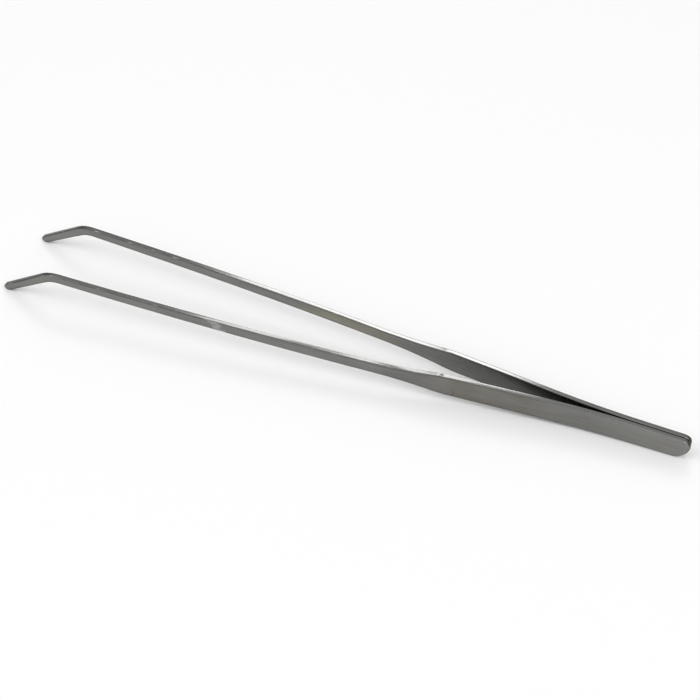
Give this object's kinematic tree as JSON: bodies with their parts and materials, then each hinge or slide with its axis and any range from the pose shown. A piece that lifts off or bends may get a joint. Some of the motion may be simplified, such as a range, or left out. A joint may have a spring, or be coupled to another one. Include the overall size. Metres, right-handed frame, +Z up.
{
  "type": "aquascaping tweezers",
  "caption": "Long slim spring tweezers in satin stainless steel: arms welded at a rounded heel, wide grip, slim blades and short tips bent down.",
  "frame": {"origin": "On the table, below the centre of the tweezers' bounding box, as they lie on their edge", "axes": "+X towards the welded heel, -X towards the tips, +Y from the left arm to the right arm, +Z up"},
  "size_m": [0.2702, 0.0304, 0.0165],
  "materials": {
    "left_arm_heel": "satin, fine grain along the arm",
    "left_arm_blade": "satin, fine grain along the arm",
    "right_arm_heel": "satin, fine grain along the arm",
    "right_arm_blade": "satin, fine grain along the arm",
    "weld_nugget_front": "dull, as melted",
    "weld_nugget_rear": "dull, as melted"
  },
  "bodies": {
    "welded_heel": {"left_arm_heel": "left_arm_heel", "right_arm_heel": "right_arm_heel", "weld_nugget_front": "weld_nugget_front", "weld_nugget_rear": "weld_nugget_rear"},
    "left_blade": {"left_arm_blade": "left_arm_blade"},
    "right_blade": {"right_arm_blade": "right_arm_blade"}
  },
  "joints": [
    {"name": "left_arm_flex", "type": "hinge", "parent": "welded_heel", "child": "left_blade", "pos_m": [0.0875, -0.00217, 0.00671], "axis": [-0.0401, 0, -0.9992], "range_deg": [0, 3.45], "stiffness_Nm_per_rad": 6},
    {"name": "right_arm_flex", "type": "hinge", "parent": "welded_heel", "child": "right_blade", "pos_m": [0.0875, 0.00217, 0.00671], "axis": [0.0401, 0, 0.9992], "range_deg": [0, 3.45], "stiffness_Nm_per_rad": 6}
  ],
  "couplings": [
    {"joint": "right_arm_flex", "follows": "left_arm_flex", "ratio": 1}
  ]
}
